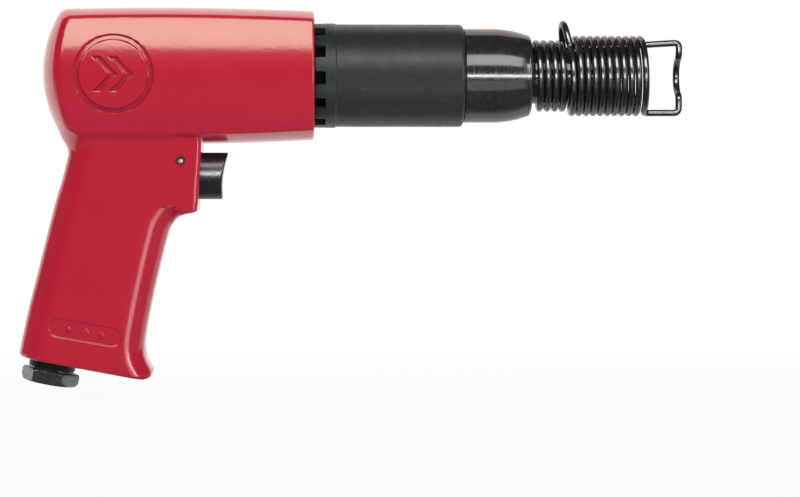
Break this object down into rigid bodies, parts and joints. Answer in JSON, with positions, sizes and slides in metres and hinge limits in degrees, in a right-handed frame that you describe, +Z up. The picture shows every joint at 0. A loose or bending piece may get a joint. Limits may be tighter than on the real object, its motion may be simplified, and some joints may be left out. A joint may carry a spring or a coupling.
{
  "type": "pneumatic air hammer",
  "caption": "Pistol-grip pneumatic hammer: rounded casing over a slanted grip, stub trigger, sleeved steel barrel, coiled wire chisel retainer with a bail and a hexagonal air inlet.",
  "frame": {"origin": "centre of the shank bore's mouth, in the barrel's nose face", "axes": "+X along the hammer axis, out of the nose; +Z up, away from the grip; +Y to the tool's left when it points forward"},
  "size_m": [0.2527, 0.047, 0.1443],
  "materials": {
    "red_paint": "gloss, fine orange peel",
    "dark_steel": "dark polished",
    "sleeve_rubber": "satin",
    "black_wire": "gloss black oxide",
    "bright_steel": "ground",
    "gasket": "matt fibre",
    "nitrile": "satin",
    "trigger_plastic": "semi-gloss",
    "brass": "turned",
    "black_oxide": "black oxide"
  },
  "bodies": {
    "housing": {"housing": "red_paint", "barrel": "dark_steel", "exhaust_sleeve": "sleeve_rubber", "valve_block_front": "bright_steel", "valve_block_rear": "bright_steel", "valve_dowels": "bright_steel", "valve_gasket": "gasket", "barrel_o_ring": "nitrile", "trigger_pin": "bright_steel", "throttle_bushing": "brass", "bushing_o_ring": "nitrile", "stem_o_ring": "nitrile", "throttle_spring": "bright_steel", "inlet_bushing": "black_oxide", "inlet_seal": "nitrile", "inlet_strainer": "brass"},
    "trigger": {"trigger": "trigger_plastic"},
    "throttle_valve": {"throttle_stem": "bright_steel", "throttle_washer": "nitrile", "throttle_nut": "brass"},
    "piston": {"piston": "bright_steel"},
    "valve_disc": {"valve_disc": "bright_steel"},
    "retainer": {"retainer_spring": "black_wire"}
  },
  "joints": [
    {"name": "trigger_slide", "type": "slide", "parent": "housing", "child": "trigger", "axis": [-1, 0, 0], "range_m": [0, 0.004]},
    {"name": "throttle_slide", "type": "slide", "parent": "housing", "child": "throttle_valve", "axis": [-1, 0, 0], "range_m": [0, 0.004], "deforming": ["throttle_spring"]},
    {"name": "piston_slide", "type": "slide", "parent": "housing", "child": "piston", "axis": [1, 0, 0], "range_m": [0, 0.0885]},
    {"name": "valve_disc_slide", "type": "slide", "parent": "housing", "child": "valve_disc", "axis": [-1, 0, 0], "range_m": [0, 0.001]},
    {"name": "retainer_unscrew", "type": "slide", "parent": "housing", "child": "retainer", "axis": [1, 0, 0], "range_m": [0, 0.03]}
  ],
  "couplings": [
    {"joint": "throttle_slide", "follows": "trigger_slide", "ratio": 1}
  ]
}
